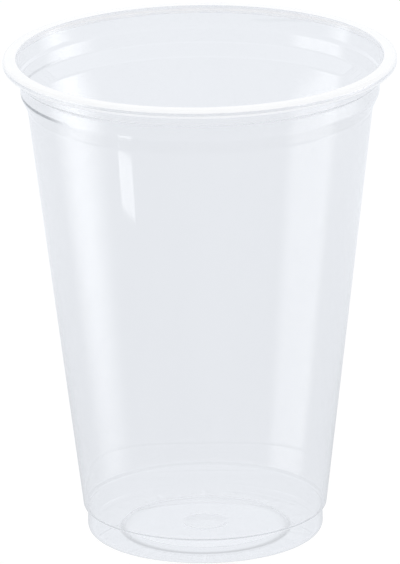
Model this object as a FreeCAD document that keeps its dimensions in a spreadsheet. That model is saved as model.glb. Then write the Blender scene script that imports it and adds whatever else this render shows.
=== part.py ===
# Clear disposable drinking cup, thermoformed in one piece from plastic sheet.
# The origin is the middle of the foot, on the surface that the cup stands on, with +Z up.
import FreeCAD, Part
import os

import Sketcher

doc = FreeCAD.newDocument("cup")

# Driving sizes in mm. Diameters and steps are those of the outside face of the sheet; a step or taper is across
# one side. A rounding is the smaller radius of its bend, so the sheet's other face has that radius plus the sheet.
sizes = {
    "overall_height": (120.0, "foot to the top of the lip"),
    "sheet": (0.3, "thickness of the formed sheet"),
    "lip_diameter": (95.0, "outermost edge of the rolled lip"),
    "lip_width": (3.0, "how far the lip stands out from the upper band"),
    "lip_height": (2.2, "height of the flattened roll"),
    "lip_return": (2.2, "how far in the sheet turns back under the roll"),
    "lip_rounding": (0.45, "bends of the roll"),
    "lip_root": (0.2, "bend where the band turns out into the lip"),
    "band_taper": (0.55, "how far the upper band leans in, from the lip to the lid groove"),
    "groove_depth": (4.9, "lid groove, below the top of the lip"),
    "groove_step": (0.6, "step in at the lid groove"),
    "groove_drop": (0.5, "height of that step"),
    "groove_rounding": (0.2, "outer bend of that step"),
    "groove_root": (0.4, "inner bend of that step"),
    "neck_taper": (0.05, "how far the neck leans in, from the lid groove to the shoulder"),
    "shoulder_depth": (8.9, "top of the stacking shoulder, below the top of the lip"),
    "shoulder_step": (1.6, "how far the shoulder leans in"),
    "shoulder_drop": (3.5, "height of the shoulder"),
    "shoulder_rounding": (1.8, "outer bend of the shoulder"),
    "shoulder_root": (2.0, "inner bend of the shoulder"),
    "foot_diameter": (57.5, "foot ring, just above its lower corner"),
    "foot_corner": (1.6, "bend of the foot's lower corner"),
    "foot_taper": (0.15, "how far the foot ring leans in, up to the heel"),
    "heel_height": (6.7, "heel ledge, above the foot"),
    "heel_step": (1.05, "step out at the heel"),
    "heel_drop": (0.4, "fall of the heel's ledge"),
    "heel_rounding": (0.2, "outer bend of the heel"),
    "heel_root": (0.35, "inner bend of the heel"),
    "stand_width": (8.05, "width of the ring that the cup stands on"),
    "push_up_rise": (1.2, "rise of the pushed-up base"),
    "push_up_run": (1.1, "run of the riser round the pushed-up base"),
    "push_up_rounding": (0.7, "lower bend of that riser"),
    "push_up_root": (0.9, "upper bend of that riser"),
    "dimple_diameter": (10.8, "round dimple in the middle of the base"),
    "dimple_drop": (0.7, "fall from the pushed-up base to the dimple's floor"),
    "dimple_run": (1.5, "run of the dimple's sloping side"),
    "dimple_rounding": (1.0, "lower bend of that side"),
    "dimple_root": (1.3, "upper bend of that side"),
}

sheet = doc.addObject("Spreadsheet::Sheet", "sizes")
for row, (alias, (value, meaning)) in enumerate(sizes.items(), start=1):
    sheet.set(f"A{row}", alias)
    sheet.set(f"B{row}", str(value))
    sheet.set(f"C{row}", meaning)
    sheet.setAlias(f"B{row}", alias)
doc.recompute()

# Radii of the outside face, as formulas on those sizes. The lip leads the upper part, and the foot the lower.
lip_edge = "sizes.lip_diameter / 2"
band_top = f"{lip_edge} - sizes.lip_width"
band_bottom = f"{band_top} - sizes.band_taper"
neck_top = f"{band_bottom} - sizes.groove_step"
neck_bottom = f"{neck_top} - sizes.neck_taper"
wall_top = f"{neck_bottom} - sizes.shoulder_step"
foot = "sizes.foot_diameter / 2"
foot_top = f"{foot} - sizes.foot_taper"
wall_bottom = f"{foot_top} + sizes.heel_step"
push_up = f"{foot} - sizes.stand_width"
push_up_top = f"{push_up} - sizes.push_up_run"
dimple = "sizes.dimple_diameter / 2"
dimple_floor = f"{dimple} - sizes.dimple_run"

# Heights of the outside face.
top_level = "sizes.overall_height"
groove_level = f"{top_level} - sizes.groove_depth"
neck_level = f"{groove_level} - sizes.groove_drop"
shoulder_level = f"{top_level} - sizes.shoulder_depth"
wall_level = f"{shoulder_level} - sizes.shoulder_drop"
heel_level = "sizes.heel_height"
foot_level = f"{heel_level} - sizes.heel_drop"
base_level = "sizes.push_up_rise"
dimple_level = f"{base_level} - sizes.dimple_drop"

same_place = 0.001  # mm, within which a ring is the one that is meant
full_turn = 360  # degrees


def worth(formula):
    """The number that a formula on the sheet comes to."""
    return float(body.evalExpression(formula))


def section_sketch(name):
    """A sketch on the body's own XZ plane: across is the radius, up is the height."""
    sketch = body.newObject("Sketcher::SketchObject", name)
    plane = next(item for item in body.Origin.OriginFeatures if item.Role == "XZ_Plane")
    sketch.AttachmentSupport = [(plane, "")]
    sketch.MapMode = "FlatFace"
    return sketch


def place_point(sketch, edge, end, across, up):
    """Holds one end of an edge at a radius and a height, both given as formulas."""
    for kind, formula in (("DistanceX", across), ("DistanceY", up)):
        if formula == "0":
            axis = -2 if kind == "DistanceX" else -1
            sketch.addConstraint(Sketcher.Constraint("PointOnObject", edge, end, axis))
        else:
            number = sketch.addConstraint(Sketcher.Constraint(kind, -1, 1, edge, end, worth(formula)))
            sketch.setExpression(f"Constraints[{number}]", formula)


def closed_outline(sketch, corners):
    """Straight edges from corner to corner and back to the first."""
    points = [FreeCAD.Vector(worth(across), worth(up), 0) for across, up in corners]
    count = len(points)
    for number in range(count):
        sketch.addGeometry(Part.LineSegment(points[number], points[(number + 1) % count]))
    for number in range(count):
        sketch.addConstraint(Sketcher.Constraint("Coincident", number, 2, (number + 1) % count, 1))
    for number, (across, up) in enumerate(corners):
        place_point(sketch, number, 1, across, up)


def revolve(sketch, name):
    """A full turn of the sketch about the cup's axis."""
    turn = body.newObject("PartDesign::Revolution", name)
    turn.Profile = sketch
    turn.ReferenceAxis = (sketch, ["V_Axis"])
    turn.Angle = full_turn
    doc.recompute()
    return turn


def rings(feature, *places):
    """Names of the feature's circular edges at the given radii and heights."""
    found = []
    for across, up in places:
        radius = worth(across)
        height = worth(up)
        names = [
            f"Edge{number}"
            for number, edge in enumerate(feature.Shape.Edges, start=1)
            if isinstance(edge.Curve, Part.Circle)
            and abs(edge.Curve.Radius - radius) < same_place
            and abs(edge.Curve.Center.z - height) < same_place
        ]
        if len(names) != 1:
            raise ValueError(f"{feature.Name}: {len(names)} edges at radius {radius}, height {height}")
        found += names
    return found


def bend(base, name, rounding, outwards, *places):
    """Rounds the base feature's rings at the given places, as one bend of the sheet."""
    radius = f"sizes.{rounding} + sizes.sheet" if outwards else f"sizes.{rounding}"
    fillet = body.newObject("PartDesign::Fillet", name)
    fillet.Base = (base, rings(base, *places))
    fillet.Radius = worth(radius)
    fillet.setExpression("Radius", radius)
    doc.recompute()
    return fillet


body = doc.addObject("PartDesign::Body", "Cup")
body.Label = "cup"

# Outside form, solid for now: base, foot ring, heel, tapered wall, shoulder, neck and band.
form_sketch = section_sketch("FormSection")
closed_outline(
    form_sketch,
    [
        ("0", dimple_level),
        (dimple_floor, dimple_level),
        (dimple, base_level),
        (push_up_top, base_level),
        (push_up, "0"),
        (foot, "0"),
        (foot, "sizes.foot_corner + sizes.sheet"),
        (foot_top, foot_level),
        (wall_bottom, heel_level),
        (wall_top, wall_level),
        (neck_bottom, shoulder_level),
        (neck_top, neck_level),
        (band_bottom, groove_level),
        (band_top, top_level),
        ("0", top_level),
    ],
)
rounded = revolve(form_sketch, "Form")

# Bends of the form, from the middle of the base up to the band.
bends = [
    ("DimpleBend", "dimple_rounding", True, dimple_floor, dimple_level),
    ("DimpleRoot", "dimple_root", False, dimple, base_level),
    ("PushUpRoot", "push_up_root", False, push_up_top, base_level),
    ("PushUpBend", "push_up_rounding", True, push_up, "0"),
    ("FootBend", "foot_corner", True, foot, "0"),
    ("HeelRoot", "heel_root", False, foot_top, foot_level),
    ("HeelBend", "heel_rounding", True, wall_bottom, heel_level),
    ("ShoulderRoot", "shoulder_root", False, wall_top, wall_level),
    ("ShoulderBend", "shoulder_rounding", True, neck_bottom, shoulder_level),
    ("GrooveRoot", "groove_root", False, neck_top, neck_level),
    ("GrooveBend", "groove_rounding", True, band_bottom, groove_level),
]
for name, rounding, outwards, across, up in bends:
    rounded = bend(rounded, name, rounding, outwards, (across, up))

# The sheet: the form hollowed from its top, which leaves it open.
faces = rounded.Shape.Faces
lid = max(range(len(faces)), key=lambda number: faces[number].CenterOfMass.z)
hollow = body.newObject("PartDesign::Thickness", "Sheet")
hollow.Base = (rounded, [f"Face{lid + 1}"])
hollow.Value = worth("sizes.sheet")
hollow.setExpression("Value", "sizes.sheet")
hollow.Reversed = True
doc.recompute()

# The lip: the sheet turned out flat, down and back in under itself, open towards the band.
# It starts in the middle of the band's wall, so that the two are one solid.
middle = f"{band_top} - sizes.sheet / 2"
edge = f"{lip_edge} - sizes.lip_return"
inside = f"{lip_edge} - sizes.sheet"
under_level = f"{top_level} - sizes.lip_height"
under_inside = f"{under_level} + sizes.sheet"
top_inside = f"{top_level} - sizes.sheet"
lip_sketch = section_sketch("LipSection")
closed_outline(
    lip_sketch,
    [
        (middle, top_level),
        (lip_edge, top_level),
        (lip_edge, under_level),
        (edge, under_level),
        (edge, under_inside),
        (inside, under_inside),
        (inside, top_inside),
        (middle, top_inside),
    ],
)
lip = revolve(lip_sketch, "Lip")

# Bends of the lip. The band leans, so its inner face meets the top a little further in than one sheet.
band_slope = "(sizes.band_taper / sizes.groove_depth)"
mouth = f"{band_top} - sizes.sheet * sqrt(1 + {band_slope} ^ 2)"
throat = f"{band_top} - sizes.sheet * {band_slope}"
lip_bend = bend(lip, "LipBend", "lip_rounding", True, (lip_edge, top_level), (lip_edge, under_level))
inner_bend = bend(lip_bend, "LipInnerBend", "lip_rounding", False, (inside, top_inside), (inside, under_inside))
mouth_bend = bend(inner_bend, "MouthBend", "lip_root", True, (mouth, top_level))
bend(mouth_bend, "MouthRoot", "lip_root", False, (throat, top_inside))

# The finished piece, tested before it is written.
broken = [item.Name for item in doc.Objects if "Invalid" in item.State or "Error" in item.State]
if broken:
    raise RuntimeError(f"failed: {broken}")
shape = body.Shape
if shape.isNull() or not shape.isValid() or len(shape.Solids) != 1:
    raise RuntimeError("the cup isn't one valid solid")
os.makedirs("parts", exist_ok=True)
shape.exportStep(f"parts/{body.Label}.step")
print(f"{body.Label}: {shape.Volume:.1f} cubic mm, {len(shape.Faces)} faces, {shape.Area:.0f} square mm")
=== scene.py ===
import math

import bmesh
import bpy
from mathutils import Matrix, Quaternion, Vector


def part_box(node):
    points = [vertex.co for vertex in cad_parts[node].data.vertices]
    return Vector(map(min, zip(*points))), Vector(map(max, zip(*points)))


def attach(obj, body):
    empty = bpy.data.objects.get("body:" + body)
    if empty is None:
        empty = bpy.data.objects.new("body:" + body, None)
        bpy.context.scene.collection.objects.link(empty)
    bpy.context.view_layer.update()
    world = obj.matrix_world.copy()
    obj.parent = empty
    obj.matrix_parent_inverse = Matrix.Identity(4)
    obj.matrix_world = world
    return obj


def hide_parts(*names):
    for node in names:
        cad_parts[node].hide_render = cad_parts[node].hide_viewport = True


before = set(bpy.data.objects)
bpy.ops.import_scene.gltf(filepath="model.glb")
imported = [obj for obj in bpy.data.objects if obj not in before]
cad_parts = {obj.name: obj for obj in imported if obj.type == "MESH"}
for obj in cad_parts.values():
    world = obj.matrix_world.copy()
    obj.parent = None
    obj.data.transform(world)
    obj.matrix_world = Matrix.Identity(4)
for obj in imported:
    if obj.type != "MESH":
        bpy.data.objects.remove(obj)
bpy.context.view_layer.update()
print("frame loaded")

mm = 0.001  # metres in a millimetre
white = (1, 1, 1, 1)
black = (0, 0, 0, 1)
lipRadius, cupTop = (round(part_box("cup")[1][axis] / mm, 1) for axis in (0, 2))  # in mm, from the frame


def metres(sizes):  # from mm
    return [size * mm for size in sizes]


# Shader maths. A Shade wraps one output socket, and its operators add Math nodes.
class Shade:
    def __init__(self, tree, socket):
        self.tree = tree
        self.socket = socket

    def node(self, kind, settings=None, values=None, output=0):
        made = self.tree.nodes.new(kind)
        for name, value in (settings or {}).items():
            setattr(made, name, value)
        for name, value in (values or {}).items():
            if isinstance(value, Shade):
                self.tree.links.new(value.socket, made.inputs[name])
            else:
                made.inputs[name].default_value = value
        return Shade(self.tree, made.outputs[output] if len(made.outputs) else None)

    def math(self, operation, first, second=0.0):
        return self.node("ShaderNodeMath", {"operation": operation}, {0: first, 1: second})

    def __add__(self, other):
        return self.math("ADD", self, other)

    def __radd__(self, other):
        return self.math("ADD", other, self)

    def __sub__(self, other):
        return self.math("SUBTRACT", self, other)

    def __rsub__(self, other):
        return self.math("SUBTRACT", other, self)

    def __mul__(self, other):
        return self.math("MULTIPLY", self, other)

    def __rmul__(self, other):
        return self.math("MULTIPLY", other, self)

    def larger(self, other):
        return self.math("MAXIMUM", self, other)

    def away(self, level):
        return self.math("ABSOLUTE", self - level)

    def rise(self, low, high):  # 0 below low, 1 above high, smooth between
        settings = {"interpolation_type": "SMOOTHSTEP"}
        return self.node("ShaderNodeMapRange", settings, {"Value": self, "From Min": low, "From Max": high})

    def axis(self, name):  # the X, Y or Z of a vector
        return self.node("ShaderNodeSeparateXYZ", values={0: self}, output=name)

    def length(self):  # of a vector
        return self.node("ShaderNodeVectorMath", {"operation": "LENGTH"}, {0: self}, output="Value")

    def colour(self, plain, full):  # from one colour to another, by this mask
        return self.node("ShaderNodeMix", {"data_type": "RGBA"}, {0: self, 6: plain, 7: full}, output=2)

    def shaders(self, plain, full):  # from one shader to another, by this mask
        return self.node("ShaderNodeMixShader", values={0: self, 1: plain, 2: full})

    def finish(self, kind="ShaderNodeOutputMaterial"):
        self.node(kind, values={"Surface": self})


def clearTree(block):
    block.use_nodes = True
    block.node_tree.nodes.clear()
    return Shade(block.node_tree, None)


def rayKinds(tree, *kinds):  # 1 for the named kinds of ray, 0 for the others
    found = tree.node("ShaderNodeLightPath", output=kinds[0])
    for kind in kinds[1:]:
        found = found.larger(tree.node("ShaderNodeLightPath", output=kind))
    return found


# The cup's section: the face of the sheet that is outside on the wall and inside on the lip's roll.
# Sizes in mm; a bend is that face's radius.
cup = {
    "sheet": 0.3,
    "baseRise": 1.2, "baseRadius": 20.7, "baseRun": 1.1,
    "dimpleDrop": 0.7, "dimpleRadius": 5.4, "dimpleRun": 1.5,
    "footRadius": 28.75, "footTopRadius": 28.6,
    "heelHeight": 6.7, "heelDrop": 0.4, "wallBottomRadius": 29.65,
    "wallTopRadius": 41.7, "shoulderDepth": 8.9, "shoulderDrop": 3.5,
    "neckBottomRadius": 43.3, "neckTopRadius": 43.35,
    "grooveDepth": 4.9, "grooveDrop": 0.5, "bandBottomRadius": 43.95, "bandTopRadius": 44.47,
    "lipHeight": 2.2, "lipReturn": 2.2,
    "bends": {
        "dimple": 1.3, "baseTop": 0.9, "baseFoot": 1.0, "foot": 1.9, "heelTop": 0.35, "wallBottom": 0.5,
        "wallTop": 2.0, "neckBottom": 2.1, "neckTop": 0.4, "bandBottom": 0.5, "bandTop": 0.2, "roll": 0.45,
    },
    "bendSteps": 7, "turnSteps": 192, "mergeWithin": 0.001,
    "longRun": 0.7, "guard": 0.15,
    "rollInside": 44.45, "rollFrom": 117.5,  # the roll lies outside this radius and above this height
    "clearFrom": 118.5, "clearTo": 119.0,  # its skin is white but for the belt between these heights
    "lowRadius": 46.7,  # and but for its underside inside this radius
    "skinFacing": 0.5, "cutFacing": -0.9,  # how far outwards the white skin and the cut edge face
    "cutRadius": 45.3, "cutReach": 0.03,
}


def sectionCorners():  # radius, height and bend of each corner, from the middle outwards
    c = cup
    bends = c["bends"]
    groove = cupTop - c["grooveDepth"]
    shoulder = cupTop - c["shoulderDepth"]
    rollRadius = lipRadius - c["sheet"]
    rollTop = cupTop - c["sheet"]
    rollBottom = cupTop - c["lipHeight"] + c["sheet"]
    return [
        (0, c["baseRise"] - c["dimpleDrop"], 0),
        (c["dimpleRadius"] - c["dimpleRun"], c["baseRise"] - c["dimpleDrop"], bends["dimple"]),
        (c["dimpleRadius"], c["baseRise"], bends["dimple"]),
        (c["baseRadius"] - c["baseRun"], c["baseRise"], bends["baseTop"]),
        (c["baseRadius"], 0, bends["baseFoot"]),
        (c["footRadius"], 0, bends["foot"]),
        (c["footTopRadius"], c["heelHeight"] - c["heelDrop"], bends["heelTop"]),
        (c["wallBottomRadius"], c["heelHeight"], bends["wallBottom"]),
        (c["wallTopRadius"], shoulder - c["shoulderDrop"], bends["wallTop"]),
        (c["neckBottomRadius"], shoulder, bends["neckBottom"]),
        (c["neckTopRadius"], groove - c["grooveDrop"], bends["neckTop"]),
        (c["bandBottomRadius"], groove, bends["bandBottom"]),
        (c["bandTopRadius"], rollTop, bends["bandTop"]),
        (rollRadius, rollTop, bends["roll"]),
        (rollRadius, rollBottom, bends["roll"]),
        (lipRadius - c["lipReturn"], rollBottom, 0),
    ]


def roundCorner(bm, vert, bend):  # the bend's radius sets how far its ends lie from the corner
    before, after = (edge.other_vert(vert).co - vert.co for edge in vert.link_edges)
    reach = bend * mm / math.tan(before.angle(after) / 2)
    bmesh.ops.bevel(
        bm, geom=[vert], offset=reach, offset_type="OFFSET", segments=cup["bendSteps"], profile=0.5,
        affect="VERTICES", material=-1,
    )


def guardRuns(bm):  # a ring close to each end of a straight run keeps its shading straight
    for edge in [edge for edge in bm.edges if edge.calc_length() > cup["longRun"] * mm]:
        share = cup["guard"] * mm / edge.calc_length()
        inner = bmesh.utils.edge_split(edge, edge.verts[0], share)[1]
        long = max(inner.link_edges, key=lambda part: part.calc_length())
        bmesh.utils.edge_split(long, long.other_vert(inner), share)


def newPiece(name, bm, *materials):
    mesh = bpy.data.meshes.new(name)
    bm.to_mesh(mesh)
    bm.free()
    for material in materials:
        mesh.materials.append(material)
    piece = bpy.data.objects.new(name, mesh)
    bpy.context.scene.collection.objects.link(piece)
    return piece


def zoneOf(face):  # 0 for the clear sheet, 1 for the white skin of the lip's roll (milky plastic and painted reflection), 2 for its cut edge
    middle = face.calc_center_median() / mm
    radius = math.hypot(middle.x, middle.y)
    if middle.z < cup["rollFrom"] or radius < cup["rollInside"]:
        return 0
    outwards = (face.normal.x * middle.x + face.normal.y * middle.y) / radius
    if abs(radius - cup["cutRadius"]) < cup["cutReach"] and outwards < cup["cutFacing"]:
        return 2
    # Painted reflection: the white skin goes on the roll's faces that turn outwards, up above the belt and
    # down below it.
    if middle.z > cup["clearTo"]:
        return int(outwards + face.normal.z > cup["skinFacing"])
    low = middle.z < cup["clearFrom"] and radius > cup["lowRadius"]
    return int(low and outwards - face.normal.z > cup["skinFacing"])


def formCup(*materials):
    corners = sectionCorners()
    bm = bmesh.new()
    line = [bm.verts.new((radius * mm, 0, height * mm)) for radius, height, bend in corners]
    for first, second in zip(line, line[1:]):
        bm.edges.new((first, second))
    for vert, (radius, height, bend) in zip(line, corners):
        if bend:
            roundCorner(bm, vert, bend)
    guardRuns(bm)
    bmesh.ops.spin(
        bm, geom=bm.verts[:] + bm.edges[:], cent=(0, 0, 0), axis=(0, 0, 1), angle=math.tau,
        steps=cup["turnSteps"], use_merge=True,
    )
    bmesh.ops.remove_doubles(bm, verts=bm.verts, dist=cup["mergeWithin"] * mm)
    bmesh.ops.recalc_face_normals(bm, faces=bm.faces)
    bmesh.ops.solidify(bm, geom=bm.faces[:], thickness=-cup["sheet"] * mm)  # inwards; turns the faces
    bmesh.ops.reverse_faces(bm, faces=bm.faces)
    for face in bm.faces:
        face.smooth = True
        face.material_index = zoneOf(face)
    return newPiece("clear_cup", bm, *materials)


# Clear plastic. A tint is what one pass through the sheet leaves of the light. Places are in mm.
plastic = {
    "tint": (0.935, 0.936, 0.937, 1), "thinTint": (0.955, 0.955, 0.955, 1),
    "footLitTint": (0.972, 0.973, 0.974, 1), "footFade": (6.0, 8.5),  # painted light: the tint is lighter below these heights
    "ior": 1.57, "roughness": 0.015, "haze": 0.03, "hazeSpan": (0.45, 0.75),
    "shadow": (0.985, 0.985, 0.99, 1),
    "patch": 45.0, "speckle": 2600.0, "detail": 2.0,  # noise scales, in cells a metre, and its octaves
    "patchShare": 0.35, "thinSpan": (0.3, 0.7),
    "drawn": 9.0,  # how much longer the patches are along the wall's height than across it
    "ripple": 0.04, "rippleDepth": 0.15,
    "creaseShade": (0.16, 0.18, 0.2, 1),  # painted shade: the folds darken towards this colour, less so behind
    "heel": cup["heelHeight"] - 0.05, "heelReach": (0.02, 0.25), "heelDark": 0.3,
    "shoulder": cupTop - cup["shoulderDepth"] + 0.5, "shoulderReach": (0.15, 0.55), "shoulderDark": 1.5,
    "shoulderSide": (30, 40),  # mm to the left, where painted shade darkens the shoulder's fold
    "front": (-10, 20), "behind": 0.2,
}


def wallNoise(place, scale, detail):  # drawn out along the height, as the sheet is when it is formed
    drawn = place.node("ShaderNodeMapping", {"vector_type": "POINT"}, {
        "Vector": place, "Scale": (1, 1, 1 / plastic["drawn"]),
    })
    return place.node("ShaderNodeTexNoise", values={"Vector": drawn, "Scale": scale, "Detail": detail})


def foldAt(height, name):  # 1 at the named fold, fading to 0 above and below it
    return 1 - height.away(plastic[name] * mm).rise(*metres(plastic[name + "Reach"]))


def finishThin(tree, shader):  # lamps and the floor's glow pass straight through the sheet
    passing = tree.node("ShaderNodeBsdfTransparent", values={"Color": plastic["shadow"]})
    rayKinds(tree, "Is Shadow Ray", "Is Diffuse Ray").shaders(shader, passing).finish()


def clearPlastic():
    material = bpy.data.materials.new("clearPlastic")
    tree = clearTree(material)
    place = tree.node("ShaderNodeTexCoord", output="Object")
    patches = wallNoise(place, plastic["patch"], plastic["detail"])
    speckle = tree.node("ShaderNodeTexNoise", values={
        "Vector": place, "Scale": plastic["speckle"], "Detail": plastic["detail"],
    })
    share = plastic["patchShare"]
    thin = (share * patches + (1 - share) * speckle).rise(*plastic["thinSpan"])
    height = place.axis("Z")
    # Painted light: the foot takes a lighter tint than the wall.
    wall = height.rise(*metres(plastic["footFade"]))
    tintAndFootLight = wall.colour(plastic["footLitTint"], thin.colour(plastic["tint"], plastic["thinTint"]))
    # Painted shade: the heel's fold darkens all round, the shoulder's only on the left, both less so behind.
    side = (0 - place.axis("X")).rise(*metres(plastic["shoulderSide"]))
    frontShade = 1 - place.axis("Y").rise(*metres(plastic["front"])) * (1 - plastic["behind"])
    heel = foldAt(height, "heel") * plastic["heelDark"]
    shoulder = foldAt(height, "shoulder") * side * plastic["shoulderDark"] * patches
    dark = (heel + shoulder) * frontShade
    bump = tree.node("ShaderNodeBump", values={
        "Height": patches, "Strength": plastic["ripple"], "Distance": plastic["rippleDepth"] * mm,
    })
    glass = tree.node("ShaderNodeBsdfPrincipled", values={
        "Base Color": dark.colour(tintAndFootLight, plastic["creaseShade"]),
        "Roughness": plastic["roughness"] + plastic["haze"] * patches.rise(*plastic["hazeSpan"]),
        "IOR": plastic["ior"],
        "Transmission Weight": 1.0,
        "Normal": bump,
    })
    finishThin(tree, glass)
    return material


# The lip's roll: the sheet is folded tight there and turns milky, and its white also paints the roll's bright
# reflection.
milkyAndSheen = {
    "colour": (0.99, 0.99, 0.988, 1), "thin": (0.972, 0.975, 0.98, 1), "thinSpan": (0.35, 0.65),
    "clear": 0.02, "ior": 1.57, "roughness": 0.12, "worn": 0.08,
    "streak": 160.0, "detail": 3.0, "ripple": 0.1, "rippleDepth": 0.1,
}


def milkyAndSheenLip():
    material = bpy.data.materials.new("milkyAndSheenLip")
    tree = clearTree(material)
    place = tree.node("ShaderNodeTexCoord", output="Object")
    streaks = wallNoise(place, milkyAndSheen["streak"], milkyAndSheen["detail"])
    bump = tree.node("ShaderNodeBump", values={
        "Height": streaks, "Strength": milkyAndSheen["ripple"], "Distance": milkyAndSheen["rippleDepth"] * mm,
    })
    milky = tree.node("ShaderNodeBsdfPrincipled", values={
        "Base Color": streaks.rise(*milkyAndSheen["thinSpan"]).colour(milkyAndSheen["thin"], milkyAndSheen["colour"]),
        "Roughness": milkyAndSheen["roughness"] + milkyAndSheen["worn"] * streaks,
        "IOR": milkyAndSheen["ior"],
        "Transmission Weight": milkyAndSheen["clear"],
        "Normal": bump,
    })
    finishThin(tree, milky)
    return material


# The sheet's cut edge, under the lip: rough where the knife tore it, with painted glints as white spots in
# its colour.
cutEdge = {
    "torn": (0.93, 0.95, 0.98, 1), "bright": (1.0, 1.0, 1.0, 1), "glintSpan": (0.4, 0.55),
    "ior": 1.57, "roughness": 0.25, "nick": 500.0, "detail": 3.0, "nickDepth": 0.08,
}


def tornEdge():
    material = bpy.data.materials.new("tornEdge")
    tree = clearTree(material)
    nicks = tree.node("ShaderNodeTexNoise", values={
        "Vector": tree.node("ShaderNodeTexCoord", output="Object"),
        "Scale": cutEdge["nick"],
        "Detail": cutEdge["detail"],
    })
    bump = tree.node("ShaderNodeBump", values={"Height": nicks, "Distance": cutEdge["nickDepth"] * mm})
    rough = tree.node("ShaderNodeBsdfPrincipled", values={
        # Painted glints: the nicks' white spots.
        "Base Color": nicks.rise(*cutEdge["glintSpan"]).colour(cutEdge["torn"], cutEdge["bright"]),
        "Roughness": cutEdge["roughness"],
        "IOR": cutEdge["ior"],
        "Normal": bump,
    })
    finishThin(tree, rough)
    return material


# Studio: pale all round, white to the camera, and soft boxes that only show in reflections.
studio = {
    "pale": (0.889, 0.914, 0.958, 1),  # what the plastic shows of it
    "backdrop": (1.05, 1.08, 1.13, 1),  # a brighter belt of it, in reflections
    "backdropFoot": (0.1, 0.25), "backdropTop": (0.38, 0.5),  # sines of the angle above the floor
    "floorSize": 4.0, "floorGlow": 0.87, "floorMatt": (0.15, 0.15, 0.15, 1),
    "nearShade": (0.622, 0.64, 0.671, 1), "nearFade": (50, 270),  # painted shade on the floor near the foot, seen only in reflections
    "paleUnder": (0.622, 0.64, 0.671, 1), "contact": (18.2, 20.4, 21.4),  # shade inside the foot
    "contactFront": (-8, 14), "contactBehind": 0.3,  # and the share of it behind
    "contactSize": 28, "contactSteps": 96,
    "bounces": 1000,  # light runs a long way inside the sheet at its bends
}

# Each box faces the cup's axis. Its brightness is on a scale where 1 is the white of the background, and a
# fade is a share of its width or height. Boxes reach below the floor, which rays through the plastic pass.
softBoxes = {
    "rightBox": {
        "place": (500, 80, -45), "width": 570, "height": 210, "brightness": 1.66,
        "sideFade": 0.5, "lowFade": 0.75, "topFade": 0.1, "slant": 0,
    },
    "leftBox": {
        "place": (-500, -20, -30), "width": 520, "height": 180, "brightness": 0.97,
        "sideFade": 0.27, "lowFade": 0.3, "topFade": 0.1, "slant": 0.1,
    },
    "windowBox": {
        "place": (398, -245, 36), "width": 96, "height": 21, "brightness": 1.65,
        "sideFade": 0.06, "lowFade": 0.1, "topFade": 0.1, "slant": 0,
    },
}


def paleWorld():
    world = bpy.data.worlds.new("paleWorld")
    bpy.context.scene.world = world
    tree = clearTree(world)
    height = tree.node("ShaderNodeTexCoord", output="Generated").axis("Z")
    backdrop = height.rise(*studio["backdropFoot"]) * (1 - height.rise(*studio["backdropTop"]))
    mirrored = (backdrop * rayKinds(tree, "Is Glossy Ray")).colour(studio["pale"], studio["backdrop"])
    colour = rayKinds(tree, "Is Camera Ray", "Is Diffuse Ray").colour(mirrored, white)
    tree.node("ShaderNodeBackground", values={"Color": colour}).finish("ShaderNodeOutputWorld")


def paleFloor():
    material = bpy.data.materials.new("paleFloor")
    tree = clearTree(material)
    distance = tree.node("ShaderNodeTexCoord", output="Object").length()
    # Painted shade: in reflections the floor darkens towards the foot.
    near = 1 - distance.rise(*metres(studio["nearFade"]))
    shade = (near * rayKinds(tree, "Is Glossy Ray")).colour(studio["pale"], studio["nearShade"])
    mirrored = tree.node("ShaderNodeEmission", values={"Color": shade})
    matt = tree.node("ShaderNodeBsdfDiffuse", values={"Color": studio["floorMatt"]})
    glow = tree.node("ShaderNodeEmission", values={"Strength": studio["floorGlow"]})
    seen = tree.node("ShaderNodeAddShader", values={0: matt, 1: glow})
    rayKinds(tree, "Is Camera Ray").shaders(mirrored, seen).finish()
    bm = bmesh.new()
    bmesh.ops.create_grid(bm, x_segments=1, y_segments=1, size=studio["floorSize"] / 2)
    floor = newPiece("studioFloor", bm, material)
    floor.visible_transmission = False  # the world below it looks the same through the plastic


def contactShade():  # the floor right under the foot, as it looks through the plastic
    material = bpy.data.materials.new("contactShade")
    tree = clearTree(material)
    place = tree.node("ShaderNodeTexCoord", output="Object")
    distance = place.length()
    inner, middle, outer = metres(studio["contact"])
    behind = place.axis("Y").rise(*metres(studio["contactFront"])) * (1 - studio["contactBehind"])
    ring = distance.rise(inner, middle) * (1 - distance.rise(middle, outer)) * (1 - behind)
    shade = ring.colour(studio["pale"], studio["paleUnder"])
    tree.node("ShaderNodeEmission", values={"Color": shade}).finish()
    bm = bmesh.new()
    bmesh.ops.create_circle(
        bm, cap_ends=True, segments=studio["contactSteps"], radius=studio["contactSize"] * mm,
    )
    disc = newPiece("contactShade", bm, material)
    disc.visible_camera = False
    disc.visible_diffuse = False
    disc.visible_glossy = False
    disc.visible_shadow = False


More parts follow.
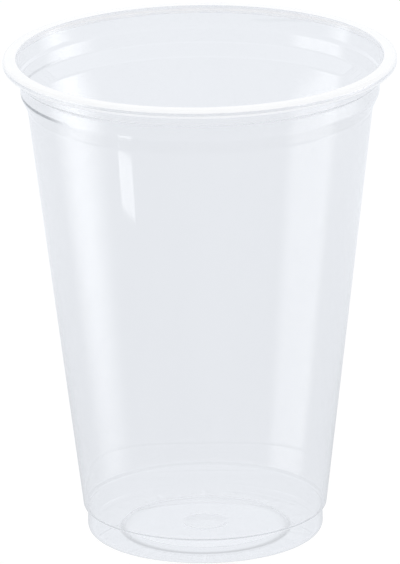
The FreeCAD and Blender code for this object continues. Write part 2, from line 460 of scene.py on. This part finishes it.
def softBox(name, box):
    light = bpy.data.lights.new(name, "AREA")
    light.shape = "RECTANGLE"
    light.size = box["width"] * mm
    light.size_y = box["height"] * mm
    light.energy = box["brightness"] * math.pi * light.size * light.size_y  # watts for this brightness
    tree = clearTree(light)
    spot = tree.node("ShaderNodeNewGeometry", output="Parametric")
    up = spot.axis("Y")
    across = spot.axis("X") + box["slant"] * (up - 0.5)
    strength = across.rise(0, box["sideFade"]) * (1 - across).rise(0, box["sideFade"])
    strength = strength * up.rise(0, box["lowFade"]) * (1 - up).rise(0, box["topFade"])
    turns = tree.node("ShaderNodeLightPath", output="Glossy Depth")
    mirrored = turns.rise(0, 1) * (1 - turns.rise(1, 2))  # once: a second one makes the sides glare
    glow = (strength * mirrored).colour(black, white)
    tree.node("ShaderNodeEmission", values={"Color": glow}).finish("ShaderNodeOutputLight")
    lamp = bpy.data.objects.new(name, light)
    bpy.context.scene.collection.objects.link(lamp)
    middle = Vector(box["place"]) * mm
    lamp.location = middle
    lamp.rotation_euler = Vector((-middle.x, -middle.y, 0)).to_track_quat("-Z", "Y").to_euler()
    lamp.visible_camera = False
    lamp.visible_diffuse = False


# The camera stands this many degrees up and mm away from a point half way up the cup. It looks at the target.
view = {
    "elevation": 17.55, "distance": 2200, "target": (-0.6, 0, 62.75), "roll": -0.72,
    "lens": 815.8, "sensor": 36,
}


def placeCamera():
    data = bpy.data.cameras.new("camera")
    data.sensor_fit = "HORIZONTAL"
    data.sensor_width = view["sensor"]
    data.lens = view["lens"]
    camera = bpy.data.objects.new("camera", data)
    bpy.context.scene.collection.objects.link(camera)
    up = math.radians(view["elevation"])
    back = view["distance"] * math.cos(up)
    camera.location = Vector((0, -back, cupTop / 2 + view["distance"] * math.sin(up))) * mm
    look = Vector(view["target"]) * mm - camera.location
    turn = look.to_track_quat("-Z", "Y") @ Quaternion((0, 0, 1), math.radians(view["roll"]))
    camera.rotation_euler = turn.to_euler()
    bpy.context.scene.camera = camera


materials = [clearPlastic(), milkyAndSheenLip(), tornEdge()]
print("materials mixed:", len(materials))

cupPiece = formCup(*materials)
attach(cupPiece, "root")
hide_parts("cup")
print("cup formed:", len(cupPiece.data.polygons), "faces")

paleWorld()
paleFloor()
contactShade()
for name, box in softBoxes.items():
    softBox(name, box)
placeCamera()
bpy.context.scene.view_settings.view_transform = "Standard"
for limit in ("max_bounces", "glossy_bounces", "transmission_bounces"):
    setattr(bpy.context.scene.cycles, limit, studio["bounces"])
print("studio ready")
